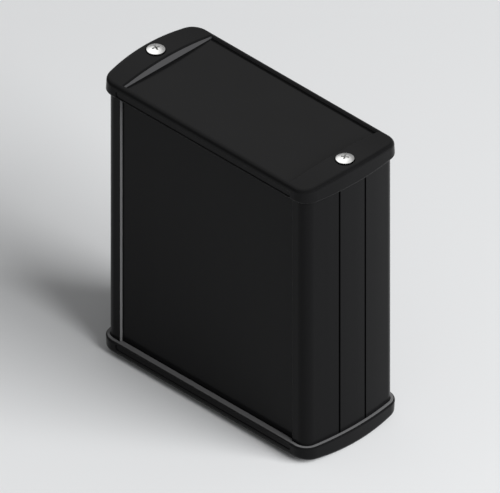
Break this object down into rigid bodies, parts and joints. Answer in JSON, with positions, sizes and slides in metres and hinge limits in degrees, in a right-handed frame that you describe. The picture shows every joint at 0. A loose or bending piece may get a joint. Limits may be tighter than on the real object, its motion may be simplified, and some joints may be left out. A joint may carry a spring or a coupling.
{
  "type": "aluminium enclosure",
  "caption": "Slim extruded aluminium tube with bowed short sides and recessed large faces, standing on end and closed by lapping moulded caps with crowned, screwed ends.",
  "frame": {"origin": "on the ground, under the middle of the part as it stands on its lower cap", "axes": "+Z along the extrusion towards the upper cap, X across the bowed short sides, Y through the thin way"},
  "size_m": [0.0962, 0.0432, 0.109],
  "materials": {
    "body_black": "black anodised, satin",
    "cap_black": "moulded black plastic, low sheen",
    "screw_plate": "bright nickel plate on steel"
  },
  "bodies": {
    "root": {"extruded_body": "body_black", "top_cap": "cap_black", "bottom_cap": "cap_black", "top_screw_left": "screw_plate", "top_screw_right": "screw_plate", "bottom_screw_left": "screw_plate", "bottom_screw_right": "screw_plate"}
  },
  "joints": []
}
